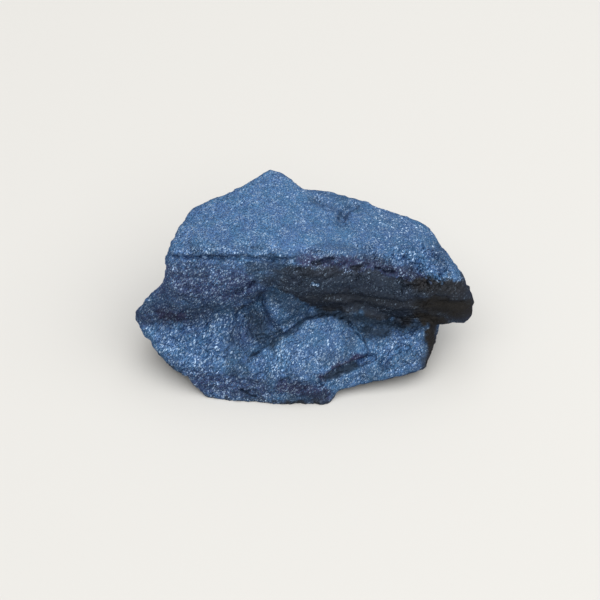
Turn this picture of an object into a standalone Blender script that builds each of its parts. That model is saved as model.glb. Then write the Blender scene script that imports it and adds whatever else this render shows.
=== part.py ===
"""A hand specimen of specular hematite: one lump of massive, glittering iron ore.

The lump is a thick slab over a stepped foot. Its broad top leans a little to
the front and falls away to the right, its brow overhangs on the right, and the
foot comes forward below it as a sloping shelf on the left and a domed shelf on
the right, parted by a hollow with a short spur above it.

X runs to the right, Y to the back and Z up. The origin is on the resting face,
under the middle of the lump. Run it with blender --background --python part.py.
"""

import bmesh
import bpy
from mathutils import Matrix, Vector, noise
from mathutils.geometry import intersect_point_line

MM = 0.001
NODE = "hematite_specimen"

# How finely the blocks are fused, how far their edges are softened, and about
# how many triangles the lump keeps before its resting face is cut.
VOXEL = 0.55 * MM
SOFTENING = 0.5
SOFTENING_ROUNDS = 2
TRIANGLES = 9800

# Each block is the convex body through its corners, (x, y, z) in millimetres.
BLOCKS = {
    # The thick slab whose top is the broad face seen from above.
    "slab": [
        (-29.4, 0.2, 28.2), (-21.5, -0.6, 29.7), (-14.0, -0.9, 30.2), (-1.8, -1.6, 29.7),
        (8.9, -1.8, 28.6), (17.8, -1.8, 27.3), (26.0, -2.2, 24.9), (33.2, -1.4, 22.0),
        (-26.8, 7.3, 28.9), (-24.2, 12.0, 29.4), (-20.0, 14.5, 29.8), (-15.8, 16.5, 30.4),
        (-12.1, 18.0, 30.8), (0.5, 17.3, 29.7), (5.3, 18.0, 28.9), (13.1, 16.2, 27.3),
        (19.5, 14.9, 25.5), (25.7, 13.0, 24.2), (28.0, 10.7, 23.6), (30.5, 6.3, 22.6),
        (33.9, 0.2, 21.2), (35.9, -1.7, 19.0), (37.0, -2.4, 15.6), (36.6, -2.6, 11.6),
        (35.4, -2.6, 9.6), (28.0, -2.0, 9.5), (34.2, 4.6, 11.4), (28.0, 13.0, 13.0),
        (6.0, 17.0, 14.0), (-16.0, 16.0, 16.0), (-28.4, 8.0, 16.0), (-29.8, -0.6, 18.0),
        (-10.0, -1.6, 14.0), (8.0, -1.6, 12.0),
    ],
    # A rougher patch standing up a little beside the right of the brow.
    "brow_patch": [
        (17.0, -1.8, 27.7), (19.8, 1.8, 27.6), (24.4, 2.4, 26.4), (27.4, -0.6, 25.0),
        (25.2, -3.6, 25.0), (20.4, -3.2, 27.1), (22.4, -0.6, 27.3), (22.0, 0.0, 20.0),
    ],
    # The peak, where the top face runs out to a point at the back.
    "peak": [
        (-7.5, 22.8, 30.9), (-12.1, 18.4, 30.9), (-15.8, 15.8, 30.5), (-5.1, 21.9, 30.7),
        (-2.2, 19.3, 30.2), (0.5, 17.2, 29.7), (-6.0, 6.0, 30.1), (-10.5, 20.4, 17.0),
        (-3.0, 21.4, 15.0), (-15.0, 15.4, 12.0), (2.6, 17.6, 10.0), (-6.6, 18.6, 4.0),
        (-13.0, 12.0, 1.0), (3.0, 12.0, 1.0),
    ],
    # The broken back, left of the peak.
    "left_back": [
        (-27.0, 7.0, 28.4), (-20.0, 14.2, 29.4), (-14.6, 16.2, 29.8), (-29.4, 7.4, 17.0),
        (-22.6, 15.6, 15.0), (-13.0, 18.8, 12.0), (-27.4, 8.6, 3.0), (-18.0, 13.0, -1.0),
        (-29.4, 1.0, 5.0), (-7.0, 16.0, -1.0), (-10.0, 0.0, 10.0),
    ],
    # The broken back, right of the peak.
    "right_back": [
        (0.0, 17.0, 29.0), (13.0, 16.0, 27.0), (25.6, 12.8, 23.8), (30.0, 6.4, 21.6),
        (25.0, 15.8, 15.0), (12.0, 18.6, 16.0), (4.6, 18.8, 9.0), (20.0, 13.0, 1.0),
        (2.0, 16.4, -1.0), (28.2, 8.0, 6.0), (10.0, 0.0, 10.0),
    ],
    # The left flank, between the slab, the lobe and the foot.
    "left_flank": [
        (-29.8, -1.4, 21.0), (-31.0, 2.6, 13.4), (-30.0, 6.0, 9.0), (-28.6, 6.0, 2.0),
        (-33.4, -2.4, 9.0), (-28.0, -6.0, 2.0), (-25.0, 0.0, 0.0), (-25.0, 5.0, 18.0),
    ],
    # The steep face under the left half of the brow, upright at its foot.
    "left_brow": [
        (-29.6, -0.4, 28.2), (-21.5, -1.3, 29.8), (-14.0, -1.8, 30.2), (-9.1, -3.0, 29.8),
        (-30.6, -2.8, 21.2), (-29.0, -5.4, 21.6), (-22.0, -6.8, 21.8), (-17.0, -7.1, 21.4),
        (-14.8, -6.8, 22.2), (-11.0, -6.1, 23.8), (-6.0, -5.4, 25.4), (-28.4, -6.3, 12.2),
        (-20.0, -6.6, 13.0), (-15.6, -5.6, 13.4), (-28.0, 4.0, 12.0), (-10.0, 4.0, 12.0),
        (-30.8, -4.8, 13.6), (-11.6, -3.2, 14.0),
    ],
    # The brow over the middle.
    "middle_brow": [
        (-10.0, -2.6, 29.9), (-1.8, -2.6, 29.7), (3.3, -3.9, 29.0), (8.9, -3.3, 28.5),
        (-8.0, -4.8, 26.0), (-1.0, -5.2, 26.2), (4.4, -5.9, 25.4), (9.8, -5.0, 24.8),
        (-9.0, -4.4, 20.2), (-1.5, -5.0, 18.6), (6.0, -5.4, 18.4), (11.0, -4.6, 18.0),
        (-6.0, -2.6, 15.0), (4.0, -3.2, 12.0), (11.0, -3.0, 11.0), (-8.0, 4.0, 22.0),
        (10.0, 4.0, 18.0),
    ],
    # The brow over the right, thicker and lower.
    "right_brow": [
        (7.0, -1.9, 28.7), (14.4, -2.2, 27.9), (20.0, -3.6, 26.6), (26.0, -4.5, 24.5),
        (28.8, -4.1, 23.4), (8.0, -4.2, 26.0), (14.0, -4.6, 25.2), (20.0, -5.6, 22.8),
        (27.0, -5.8, 20.8), (9.0, -4.6, 19.0), (20.0, -5.4, 17.6), (28.0, -5.2, 16.8),
        (10.0, -3.2, 12.6), (20.0, -3.4, 10.2), (28.0, -3.2, 9.6), (10.0, 3.0, 16.0),
        (28.0, 3.0, 14.0),
    ],
    # The end of the slab, hanging free past the foot.
    "slab_end": [
        (24.0, -3.4, 25.2), (30.0, -3.6, 23.0), (33.5, -2.3, 21.8), (35.9, -2.0, 19.0),
        (37.5, -3.2, 16.0), (37.1, -3.4, 10.9), (36.0, -3.4, 8.7), (24.0, -4.6, 21.8),
        (31.0, -4.8, 19.6), (35.0, -4.3, 17.0), (35.6, -4.2, 12.0), (30.0, -4.2, 12.0),
        (26.0, -3.2, 8.9), (26.0, 2.0, 9.2), (35.0, 2.0, 9.8), (34.0, 0.0, 20.4),
    ],
    # The body under the slab, down to the resting face.
    "body": [
        (-27.0, -8.0, 0.0), (-20.0, -15.0, -1.0), (3.0, -17.0, -1.0), (9.0, -12.0, -1.0),
        (22.0, -8.0, -1.0), (26.0, -3.0, -1.0), (25.4, 7.0, -1.0), (14.0, 12.0, -1.0),
        (-8.0, 13.0, -1.0), (-24.0, 8.0, -1.0), (-29.0, 1.0, 2.0), (-30.0, 2.0, 11.0),
        (29.0, -1.0, 9.8), (28.0, -3.5, 4.0), (28.4, 8.0, 12.0), (8.0, 14.0, 14.0),
        (-14.0, 14.0, 14.0), (-26.0, 8.0, 14.0), (-12.0, -1.5, 17.0), (8.0, -1.0, 16.0),
    ],
    # The lobe that reaches out to the left, a ridge that falls off behind.
    "lobe": [
        (-30.4, -3.0, 20.6), (-33.9, -4.2, 17.8), (-37.5, -5.2, 13.6), (-37.1, -6.0, 11.2),
        (-30.0, -5.4, 12.0), (-36.0, -1.0, 8.5), (-33.0, 2.0, 10.5), (-31.0, 1.6, 13.0),
        (-29.6, 2.0, 16.0), (-33.0, -5.0, 3.5), (-28.0, -4.0, 3.0), (-28.0, 2.0, 6.0),
    ],
    # The sloping shelf at the left.
    "left_shelf": [
        (-37.1, -6.2, 11.0), (-34.0, -5.6, 11.8), (-24.0, -5.8, 11.8), (-20.0, -4.6, 13.4),
        (-16.6, -4.4, 14.8), (-33.6, -8.7, 8.6), (-30.4, -12.0, 7.0), (-27.2, -14.1, 6.0),
        (-21.0, -15.3, 5.9), (-17.0, -14.6, 6.4), (-14.6, -5.4, 12.0), (-14.8, -9.0, 9.4),
        (-17.2, -12.7, 8.0), (-12.8, -6.0, 8.0), (-13.2, -9.4, 7.0), (-25.2, -15.3, 3.4), (-29.4, -9.6, 1.2), (-18.0, -14.0, 0.0),
        (-16.0, -5.0, 0.0), (-33.0, -5.0, 3.5), (-22.0, -9.6, 10.0),
    ],
    # The foot, running on below the left shelf to the front of the dome.
    "foot": [
        (-25.2, -15.5, 3.2), (-21.1, -17.8, 0.6), (-20.4, -17.9, -1.0), (-14.6, -18.7, -1.0),
        (-10.4, -20.0, -1.0), (-2.2, -19.6, -1.0), (-26.1, -14.1, 5.9), (-15.0, -15.0, 6.2),
        (-10.0, -15.2, 6.6), (-4.0, -16.4, 6.6), (-24.0, -10.0, 1.0), (-24.0, -11.0, 6.0),
        (-4.0, -10.0, 0.0), (-4.0, -12.0, 6.0),
    ],
    # The floor of the hollow, which climbs from the front up to the spur.
    "hollow_floor": [
        (-17.0, -4.0, 9.4), (-5.0, -5.0, 8.4), (-5.0, -9.0, 7.6), (-9.0, -13.4, 6.8),
        (-17.0, -13.6, 7.2), (-17.0, -4.0, 0.0), (-5.0, -4.0, 0.0), (-16.0, -13.0, 0.0),
        (-9.0, -13.0, 0.0),
    ],
    # The domed shelf in the middle, with a free lip at the back and the right.
    "dome": [
        (-12.2, -13.8, 7.4), (-9.3, -12.5, 8.7), (-5.5, -9.6, 10.9), (-1.6, -7.7, 12.1),
        (0.4, -6.4, 12.8), (5.1, -5.1, 13.1), (8.9, -5.1, 12.5), (10.4, -5.6, 11.9),
        (12.4, -7.6, 10.0), (12.9, -10.2, 8.6), (14.7, -11.8, 7.4), (10.0, -14.7, 6.8),
        (5.1, -16.1, 6.2), (3.3, -17.7, 5.4), (-1.0, -13.0, 10.3), (-4.2, -17.6, 6.2),
        (-1.1, -18.1, 6.0), (1.8, -20.5, -1.0), (-2.2, -19.8, -1.0), (-10.4, -19.6, -1.0),
        (4.6, -20.3, -1.0), (0.0, -5.6, 8.0), (8.0, -4.8, 7.0), (-7.0, -9.6, 5.0),
        (13.0, -10.0, 5.0), (-10.0, -13.0, 2.0),
    ],
    # The flat shelf at the right, with its free lip over the floor.
    "right_shelf": [
        (27.0, -4.1, 9.8), (20.0, -4.4, 9.2), (13.0, -5.0, 8.8), (26.2, -13.2, 4.7),
        (18.2, -14.1, 4.3), (11.1, -16.0, 3.4), (6.9, -17.6, 1.8), (12.5, -9.0, 7.4),
        (9.0, -13.6, 5.4), (5.0, -15.6, 4.2), (30.2, -0.8, 7.4), (29.2, -5.6, 2.4),
        (27.2, -10.6, 2.2), (22.0, -8.0, 0.0), (8.0, -14.0, 0.0), (26.0, -3.0, 1.0),
        (12.0, 2.0, 2.0),
    ],
    # The short spur between the hollow and the overhang.
    "spur": [
        (-9.0, -4.6, 20.6), (-8.2, -5.2, 17.0), (-4.9, -8.0, 10.4), (1.1, -4.8, 13.4),
        (-2.0, -4.6, 18.0), (-7.4, -4.4, 9.0), (2.0, -5.0, 9.0), (-9.0, 0.0, 12.0),
        (2.0, 0.0, 10.0), (-9.4, -1.0, 20.0),
    ],
    # The low block at the foot of the overhang, right of the dome.
    "step": [
        (8.6, -4.6, 14.4), (14.6, -4.7, 14.2), (18.4, -4.8, 11.4), (18.6, -5.4, 8.0),
        (12.8, -6.4, 7.6), (10.6, -5.6, 11.4), (10.0, 0.0, 12.0), (18.0, 0.0, 9.0),
        (12.0, -2.0, 4.0), (18.0, -2.0, 4.0),
    ],
}

# Hollows and cracks worn into the lump: a path, a reach and a depth in
# millimetres, and the way in which the rock is taken away.
HOLLOWS = {
    # The scoop in the top face, in two arms.
    "top_scoop": dict(
        path=[(8.4, 8.0, 28.6), (8.8, 12.0, 28.4), (10.6, 13.8, 28.0)],
        reach=2.2, depth=1.1, way=(0.0, 0.0, -1.0),
    ),
    "top_scoop_arm": dict(
        path=[(2.6, 14.6, 29.4), (5.6, 13.4, 29.0), (8.6, 12.4, 28.4)],
        reach=2.2, depth=0.6, way=(0.0, 0.0, -1.0),
    ),
    # Chips that make the edge of the brow wander.
    "left_chip": dict(
        path=[(-12.0, -2.4, 30.2), (-8.0, -3.2, 29.8)],
        reach=2.6, depth=0.8, way=(0.0, 0.6, -0.8),
    ),
    "middle_chip": dict(
        path=[(0.6, -3.6, 29.4), (4.6, -4.0, 28.8)],
        reach=2.6, depth=1.2, way=(0.0, 0.6, -0.8),
    ),
    "right_chip": dict(
        path=[(12.6, -2.6, 28.0), (15.6, -2.8, 27.7)],
        reach=2.2, depth=0.9, way=(0.0, 0.6, -0.8),
    ),
    "far_right_chip": dict(
        path=[(24.6, -4.2, 24.8), (28.6, -4.2, 23.4)],
        reach=2.6, depth=1.0, way=(0.0, 0.6, -0.8),
    ),
    # The parting between the upper and the lower layers of the overhang.
    "overhang_parting": dict(
        path=[(5.0, -5.8, 18.8), (16.0, -5.7, 17.6), (26.0, -5.4, 16.6), (35.0, -4.4, 15.4)],
        reach=1.7, depth=0.9, way=(0.0, 1.0, 0.0),
    ),
    # The crease under the right end of the left brow.
    "brow_crease": dict(
        path=[(-18.0, -7.0, 20.6), (-15.2, -6.8, 21.4), (-12.4, -6.2, 22.8)],
        reach=1.3, depth=0.9, way=(0.0, 0.8, -0.4),
    ),
    # The pocket above the floor of the hollow.
    "pocket": dict(
        path=[(-13.4, -3.4, 13.0), (-10.0, -3.4, 12.0), (-8.4, -4.0, 10.0)],
        reach=3.6, depth=1.2, way=(0.0, 1.0, 0.0),
    ),
    # The groove under the free lip of the dome.
    "lip_groove": dict(
        path=[(3.4, -17.8, 4.6), (5.4, -16.4, 5.2), (10.0, -15.1, 6.0), (14.8, -12.2, 6.6)],
        reach=1.5, depth=1.5, way=(-0.3, 0.6, -0.7),
    ),
    # The short groove further right, and the notch above it.
    "shelf_groove": dict(
        path=[(17.4, -12.8, 5.4), (18.6, -11.4, 6.0), (19.8, -10.0, 6.6), (22.6, -9.2, 6.8)],
        reach=1.4, depth=1.1, way=(0.0, 0.2, -1.0),
    ),
}

# Broken facets all over: their size and the height they give, in millimetres.
FACETS = [(8.0, 1.2), (3.6, 0.55)]
# The layers of the ore show as low ledges on the walls: how thick they are, how
# high they stand, how far they run, and over what length they wander.
LAYER = 1.7
LAYER_RISE = 0.4
LAYER_LENGTH = 16.0
LAYER_WANDER = 14.0
# The broad top is a smoother break: how much of the relief it keeps, and the
# height above which a face that looks up belongs to it.
TOP_SHARE = 0.35
TOP_LEVEL = 20.0
# So is the dome: its middle, its reach, and how much it keeps at the middle.
DOME_MIDDLE = Vector((-1.0, -12.0, 9.0))
DOME_REACH = 15.0
DOME_SHARE = 0.2
# What the softening of the edges takes off, put back all over.
SWELL = 0.3
# How far apart two neighbouring facets are set when their lean is drawn.
SEED_SPREAD = 7.0
HALF = Vector((0.5, 0.5, 0.5))

# The side of the block that cuts the resting face.
CUTTER = 120.0 * MM

# Blue-grey crystalline hematite: its colour, and how metallic and rough it is.
ORE_COLOUR = (0.085, 0.135, 0.22, 1.0)
ORE_METALLIC = 0.8
ORE_ROUGHNESS = 0.5


def clear_scene():
    for thing in list(bpy.data.objects):
        bpy.data.objects.remove(thing)


def block_form(corners):
    """The convex body through the corners, as a closed bmesh."""
    form = bmesh.new()
    for corner in corners:
        form.verts.new(Vector(corner) * MM)
    hull = bmesh.ops.convex_hull(form, input=form.verts)
    inner = [v for v in hull["geom_interior"] if isinstance(v, bmesh.types.BMVert)]
    bmesh.ops.delete(form, geom=inner, context="VERTS")
    bmesh.ops.recalc_face_normals(form, faces=form.faces)
    return form


def fused_blocks():
    """All the blocks as one mesh, fused by a voxel remesh."""
    mesh = bpy.data.meshes.new("blocks")
    joined = bmesh.new()
    for corners in BLOCKS.values():
        form = block_form(corners)
        form.to_mesh(mesh)
        form.free()
        joined.from_mesh(mesh)
    joined.to_mesh(mesh)
    joined.free()
    source = bpy.data.objects.new("blocks", mesh)
    bpy.context.scene.collection.objects.link(source)
    fuse = source.modifiers.new("fuse", "REMESH")
    fuse.mode = "VOXEL"
    fuse.voxel_size = VOXEL
    soften = source.modifiers.new("soften", "SMOOTH")
    soften.factor = SOFTENING
    soften.iterations = SOFTENING_ROUNDS
    graph = bpy.context.evaluated_depsgraph_get()
    fused = bpy.data.meshes.new_from_object(source.evaluated_get(graph))
    bpy.data.objects.remove(source)
    return fused


def distance_to_path(point, path):
    """The distance from a point to the nearest stretch of an open path."""
    nearest = min((point - corner).length for corner in path)
    for start, end in zip(path, path[1:]):
        foot, share = intersect_point_line(point, start, end)
        if 0.0 < share < 1.0:
            nearest = min(nearest, (point - foot).length)
    return nearest


def wear_hollow(mesh, path, reach, depth, way):
    """Takes the rock away around a path, deepest on the path itself."""
    corners = [Vector(corner) * MM for corner in path]
    push = Vector(way).normalized() * depth * MM
    for vertex in mesh.vertices:
        away = distance_to_path(vertex.co, corners) / (reach * MM)
        if away < 1.0:
            vertex.co += push * (1.0 - away * away) ** 2


def facet_height(place, size):
    """How far a point stands out on the tilted face of its own broken facet."""
    seed = noise.voronoi(place / size)[1][0]
    lean = noise.cell_vector(seed * SEED_SPREAD) - HALF
    return (place / size - seed).dot(lean)


def layer_height(place):
    """The low ledges of the layers, which run level and wander a little."""
    wander = noise.noise(place / LAYER_WANDER)
    along = place / LAYER_LENGTH
    return noise.noise(Vector((along.x, along.y, place.z / LAYER + wander)))


def raise_relief(mesh):
    """Moves the surface in and out by broken facets and by the ore's layers."""
    normals = [vertex.normal.copy() for vertex in mesh.vertices]
    for vertex, normal in zip(mesh.vertices, normals):
        place = vertex.co / MM
        height = sum(facet_height(place, size) * rise for size, rise in FACETS)
        if place.z > TOP_LEVEL:
            height *= 1.0 - (1.0 - TOP_SHARE) * max(normal.z, 0.0)
        away = (place - DOME_MIDDLE).length / DOME_REACH
        if away < 1.0:
            height *= 1.0 - (1.0 - DOME_SHARE) * (1.0 - away * away)
        height += layer_height(place) * LAYER_RISE * (1.0 - abs(normal.z))
        vertex.co += normal * (height + SWELL) * MM


def thinned(mesh):
    """The lump with as few triangles as keep its ledges, cracks and facets."""
    lump = bpy.data.objects.new("thinned", mesh)
    bpy.context.scene.collection.objects.link(lump)
    thin = lump.modifiers.new("thin", "DECIMATE")
    thin.ratio = TRIANGLES / (2 * len(mesh.polygons))
    graph = bpy.context.evaluated_depsgraph_get()
    light = bpy.data.meshes.new_from_object(lump.evaluated_get(graph))
    bpy.data.objects.remove(lump)
    return light


def floor_cutter(collection):
    """A block below the resting face, wider than the lump."""
    form = bmesh.new()
    bmesh.ops.create_cube(form, size=CUTTER)
    bmesh.ops.translate(form, verts=form.verts, vec=(0.0, 0.0, -CUTTER / 2))
    mesh = bpy.data.meshes.new("floor_cutter")
    form.to_mesh(mesh)
    form.free()
    cutter = bpy.data.objects.new("floor_cutter", mesh)
    cutter.hide_render = True
    cutter.display_type = "WIRE"
    collection.objects.link(cutter)
    return cutter


def ore_material():
    """The plain look of the whole lump."""
    material = bpy.data.materials.new("specular_hematite")
    material.use_nodes = True
    shader = material.node_tree.nodes["Principled BSDF"]
    shader.inputs["Base Color"].default_value = ORE_COLOUR
    shader.inputs["Metallic"].default_value = ORE_METALLIC
    shader.inputs["Roughness"].default_value = ORE_ROUGHNESS
    return material


def new_collection(name):
    collection = bpy.data.collections.new(name)
    bpy.context.scene.collection.children.link(collection)
    return collection


def rest_on_floor(lump, cutter):
    """Cuts the resting face flat and brings the origin under the middle."""
    cut = lump.modifiers.new("resting_face", "BOOLEAN")
    cut.operation = "DIFFERENCE"
    cut.solver = "EXACT"
    cut.object = cutter
    graph = bpy.context.evaluated_depsgraph_get()
    mesh = bpy.data.meshes.new_from_object(lump.evaluated_get(graph))
    lump.modifiers.remove(cut)
    across = [vertex.co.x for vertex in mesh.vertices]
    deep = [vertex.co.y for vertex in mesh.vertices]
    middle = Vector((min(across) + max(across), min(deep) + max(deep), 0.0)) / 2
    mesh.transform(Matrix.Translation(-middle))
    lump.data = mesh


def main():
    clear_scene()
    fused = fused_blocks()
    for hollow in HOLLOWS.values():
        wear_hollow(fused, **hollow)
    raise_relief(fused)
    parts = new_collection(NODE)
    cutters = new_collection("cutters")
    lump = bpy.data.objects.new(NODE, thinned(fused))
    parts.objects.link(lump)
    rest_on_floor(lump, floor_cutter(cutters))
    lump.data.materials.clear()
    lump.data.materials.append(ore_material())


main()
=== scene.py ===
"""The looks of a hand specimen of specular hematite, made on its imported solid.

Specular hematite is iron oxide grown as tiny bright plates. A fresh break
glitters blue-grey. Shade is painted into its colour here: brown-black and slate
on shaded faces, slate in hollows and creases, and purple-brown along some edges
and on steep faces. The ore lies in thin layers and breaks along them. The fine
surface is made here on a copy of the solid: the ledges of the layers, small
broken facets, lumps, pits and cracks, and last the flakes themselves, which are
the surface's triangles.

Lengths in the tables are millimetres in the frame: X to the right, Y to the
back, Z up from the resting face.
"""

import math
import random

import bmesh
import bpy
import numpy as np
from mathutils import Euler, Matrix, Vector, noise
from mathutils.bvhtree import BVHTree
from mathutils.kdtree import KDTree


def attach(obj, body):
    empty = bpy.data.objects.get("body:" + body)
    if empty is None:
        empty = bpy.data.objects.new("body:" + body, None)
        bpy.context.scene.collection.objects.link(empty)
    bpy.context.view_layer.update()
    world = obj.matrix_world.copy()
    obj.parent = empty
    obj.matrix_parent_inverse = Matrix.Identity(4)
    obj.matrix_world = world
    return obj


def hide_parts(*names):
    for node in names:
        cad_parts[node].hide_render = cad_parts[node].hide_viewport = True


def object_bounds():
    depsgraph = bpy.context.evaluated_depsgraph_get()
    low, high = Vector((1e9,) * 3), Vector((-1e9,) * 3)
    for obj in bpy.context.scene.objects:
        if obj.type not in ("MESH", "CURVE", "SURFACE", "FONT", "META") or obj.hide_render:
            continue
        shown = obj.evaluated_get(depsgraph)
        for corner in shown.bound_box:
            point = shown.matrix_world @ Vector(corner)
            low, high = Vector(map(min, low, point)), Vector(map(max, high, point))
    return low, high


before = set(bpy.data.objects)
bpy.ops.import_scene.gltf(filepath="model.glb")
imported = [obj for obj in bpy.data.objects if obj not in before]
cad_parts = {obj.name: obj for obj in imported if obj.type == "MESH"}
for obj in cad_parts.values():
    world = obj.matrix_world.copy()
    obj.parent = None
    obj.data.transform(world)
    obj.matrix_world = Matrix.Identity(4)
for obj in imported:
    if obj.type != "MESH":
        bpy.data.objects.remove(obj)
cad_low, cad_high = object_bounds()

MM = 0.001
NODE = "hematite_specimen"

# Real flakes of this ore are 0.2 to 0.5 mm across, one or two pixels of the
# picture. The surface is remade on a grid of this pitch, turned by odd angles
# so that its rows follow no face, and thinned to triangles the size of flakes.
GRID = 0.29
GRID_TURN = (0.58, 0.47, 0.72)
SOFTENING = 0.5
SOFTENING_ROUNDS = 8
FLAKES = 190000

# Edges of the solid sharper than this stay crisp. Near them the softening and
# the relief are only a share of what they are a little way off.
CRISP_ANGLE = math.radians(40)
CRISP_REACH = (0.3, 2.0)
CRISP_SOFTENING = 0.4
CRISP_RELIEF = 0.35

# The flakes lie along one way, and are longer that way than across.
FLAKE_WAY = Vector((0.55, 0.6, 0.6))
FLAKE_LENGTH = 2.2

# How far the flakes stand in and out of the surface, and the cells in which
# they do so as one.
FLAKE_RISE = 0.022
FLAKE_CELL = 0.11

# Broken facets: how wide they are and how far their edges stand out.
FACETS = [(4.4, 0.55), (2.1, 0.50), (1.0, 0.26)]
SEED_SPREAD = 7.0
HALF = Vector((0.5, 0.5, 0.5))

# Ledges of the layers: how thick a layer is, how far it stands out, how far it
# runs before it breaks off, and how much of it is the step to the next one.
LEDGES = [(2.0, 0.42, 9.0, 0.22), (0.9, 0.20, 5.0, 0.3)]
LEDGE_SPREAD = 7.3
LAYER_DIP = -0.03
LAYER_WANDER = 11.0
LAYER_WANDER_RISE = 0.9

# Hackly lumps with crests, drawn out along a grain that climbs to the right: how
# wide they are along it, across and up, how steeply it climbs, how high they
# stand, and what makes their crests.
LUMP = (4.0, 2.0, 1.15)
LUMP_CLIMB = 0.6
LUMP_RISE = 0.34
LUMP_CRESTS = (0.9, 2.1, 3, 1.0, 2.0)
LUMP_MIDDLE = 1.0

# How the surface broke: the shares of facets, lumps and ledges that a place
# has, and how coarse its flakes are, where 1 is coarse. First in general, then
# in patches, given by their middle and reach, and last on the smooth top, which
# lies above a level and faces up. Two patches lie on the top and win over it.
SHARES = (0.7, 0.6, 0.9, 0.3)
PATCH_CORE = 0.6
TOP_LEVEL = (19.0, 23.0)
TOP_FACING = (0.45, 0.80)
TOP_SHARES = (0.15, 0.15, 0.5, 0.4)
PATCHES = {
    "left_front": ((-20.0, -6.0, 22.0), 12.0, (0.65, 1.35, 0.6, 0.5)),
    "left_shelf": ((-22.0, -12.0, 9.0), 13.0, (0.9, 1.6, 0.3, 1.0)),
    "foot": ((-8.0, -20.0, 3.0), 11.0, (0.8, 1.2, 1.6, 0.5)),
    "dome": ((1.0, -12.5, 10.0), 10.0, (0.35, 0.4, 0.2, 0.6)),
    "right_shelf": ((20.0, -10.0, 7.5), 8.0, (0.9, 1.3, 0.3, 0.6)),
    "right_wall": ((14.0, -6.0, 19.5), 14.0, (0.45, 0.6, 0.85, 0.2)),
    "top_right": ((20.0, 5.0, 26.8), 13.0, (0.15, 0.15, 0.5, 1.0)),
    "brow_lumps": ((25.0, -3.0, 24.5), 9.0, (2.6, 1.3, 0.4, 0.8)),
    "middle_hollow": ((-11.5, -9.0, 10.0), 6.0, (0.7, 0.7, 0.0, 0.3)),
    "spur": ((-2.5, -6.5, 17.0), 5.0, (0.3, 0.35, 0.0, 0.1)),
    "wall_step": ((14.0, -7.0, 11.0), 5.0, (0.4, 0.3, 0.3, 0.0)),
    "brow_rim": ((1.5, -5.5, 27.8), 7.0, (1.2, 1.5, 0.4, 0.4)),
    "brow_rim_right": ((12.5, -5.5, 26.6), 7.0, (1.2, 1.5, 0.4, 0.4)),
    "overhang_end": ((34.0, -5.0, 13.5), 6.0, (0.2, 0.2, 0.3, 0.0)),
}
PATCHES_ON_TOP = ("top_right", "brow_lumps")

# Pits left by grains that fell out: how many, their reach and their depth.
PITS = 520
PIT_REACH = (0.35, 1.1)
PIT_DEPTH = 0.35
PIT_SEED = 11

# Cracks and grooves: the line, how wide they open, how deep they go, and how
# far they stray to the side of the line. Without a seed, they would stray in
# another way at each run.
STRAY_TURN = 1.9
STRAY_SEED = 2
CRACKS = {
    "dome_back": (
        [(2.2, -7.1, 13), (5.5, -6.9, 13.1), (8.8, -6.9, 12.8), (10.6, -8, 11.4), (12.6, -10, 9.6)],
        0.5, 0.6, 1.1,
    ),
    "lip_groove": (
        [(3.1, -19.2, 4.2), (4.8, -18.3, 5.6), (7.7, -16.9, 6.6), (10.6, -15.3, 6.4), (13.3, -13.5, 5.9),
         (15, -12.9, 6.4)],
        1.0, 1.2, 0.25,
    ),
    "shelf_groove": (
        [(17.2, -13.7, 5.2), (18.4, -12.6, 6), (19.7, -11.7, 6.7), (22.8, -10.9, 7.4)],
        0.7, 0.6, 0.3,
    ),
    "shelf_step": (
        [(12.6, -10, 9.4), (14.6, -11.2, 8), (15.6, -12.4, 6.8)],
        1.1, 0.4, 0.6,
    ),
    "fringe_left": (
        [(2, -5.2, 27.9), (4.1, -4.7, 28), (5.6, -4.5, 28.5), (7.3, -4.6, 28.6)],
        0.75, 0.9, 0.3,
    ),
    "fringe_middle": ([(10.2, -5.4, 26.5), (11.9, -5, 26.8), (13.4, -4.5, 26.9)], 0.65, 0.7, 0.3),
    "fringe_right": ([(15.4, -5.4, 26.2), (17.1, -5.8, 25.6), (19, -5.9, 25.6)], 0.65, 0.7, 0.4),
    "brow_crease": (
        [(-17.3, -7.4, 19.2), (-14.8, -7.4, 21), (-12.6, -6.9, 22.4), (-11.3, -7.5, 23.9)],
        0.9, 1.1, 0.4,
    ),
    "left_brow": (
        [(-30, -3, 27.2), (-20.6, -4, 28.3), (-14.1, -4.3, 28.7), (-10.8, -4.7, 28.4), (-4.3, -4.9, 28.3)],
        0.85, 0.8, 0.35,
    ),
    "foot_crack": (
        [(-14.3, -19.4, 2), (-12.6, -19.9, 1.7), (-10.8, -20.3, 1.3)],
        0.45, 0.6, 0.6,
    ),
    "spur_contact": (
        [(-7.6, -6.1, 21), (-3.3, -6.6, 19), (0.4, -6.7, 15.9), (4, -6.7, 13.9)],
        0.7, 0.8, 0.5,
    ),
    "left_scoop": ([(2.5, 13.8, 29.1), (3.8, 11.7, 29.2), (5.1, 10.3, 29.3)], 0.9, 0.4, 0.4),
    "right_scoop": (
        [(11.2, 13, 27.7), (9.6, 11.6, 27.5), (8.4, 10, 27.7), (8.1, 8.4, 27.9)],
        1.3, 0.45, 0.3,
    ),
    "worn_left_corner": ([(-31.8, -1, 28), (-31.8, -4, 26), (-32, -5, 23)], 3.0, 1.0, 0.0),
}

# A short ridge stands out of the wall under the brow and carries a painted
# highlight: its plates all count as large and bright, and the painted deep shade stays off it.
HIGHLIGHT_RIDGE = [(1.7, -6.9, 22.9), (2.7, -6.9, 22.7)]
HIGHLIGHT_REACH = 0.23
RIDGE_RISE = 0.25
HIGHLIGHT_BRIGHT = 15.0
HIGHLIGHT_CLEAR = 0.46

# The painted shade below lies along lines. A mark is full on the core of its reach,
# fades to nothing at its end, and strays in and out as a slow noise drifts.
CORE = 0.2
EDGE_RAGGED = 0.7
DRIFT_WIDTH = 2.6
DRIFT_DETAIL = (0.6, 2.0, 4)
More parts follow.
